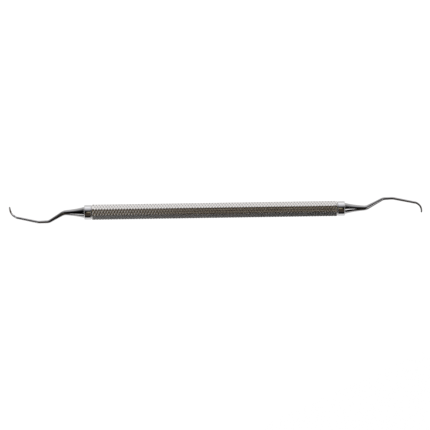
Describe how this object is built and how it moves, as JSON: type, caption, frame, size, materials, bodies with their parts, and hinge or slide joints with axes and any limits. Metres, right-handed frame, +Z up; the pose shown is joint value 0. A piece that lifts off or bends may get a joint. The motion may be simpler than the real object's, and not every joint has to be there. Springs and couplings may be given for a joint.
{
  "type": "dental hand scaler",
  "caption": "Double-ended dental hand scaler: slim octagonal knurled handle, turned collars, and bent tapering shanks that end in small curved blades.",
  "frame": {"origin": "centre of the handle facet that the instrument rests on, midway along the handle", "axes": "+X along the handle; +Z up, out of the table; +Y the side to which the toe of the left working end (the one at -X) points"},
  "size_m": [0.1716, 0.0087, 0.0063],
  "materials": {
    "handle_steel": "satin, knurled",
    "collar_steel": "mirror polished stainless steel",
    "working_end_steel": "polished, hardened stainless steel"
  },
  "bodies": {
    "root": {"handle_tube": "handle_steel", "left_collar": "collar_steel", "right_collar": "collar_steel", "left_working_end": "working_end_steel", "right_working_end": "working_end_steel"}
  },
  "joints": []
}
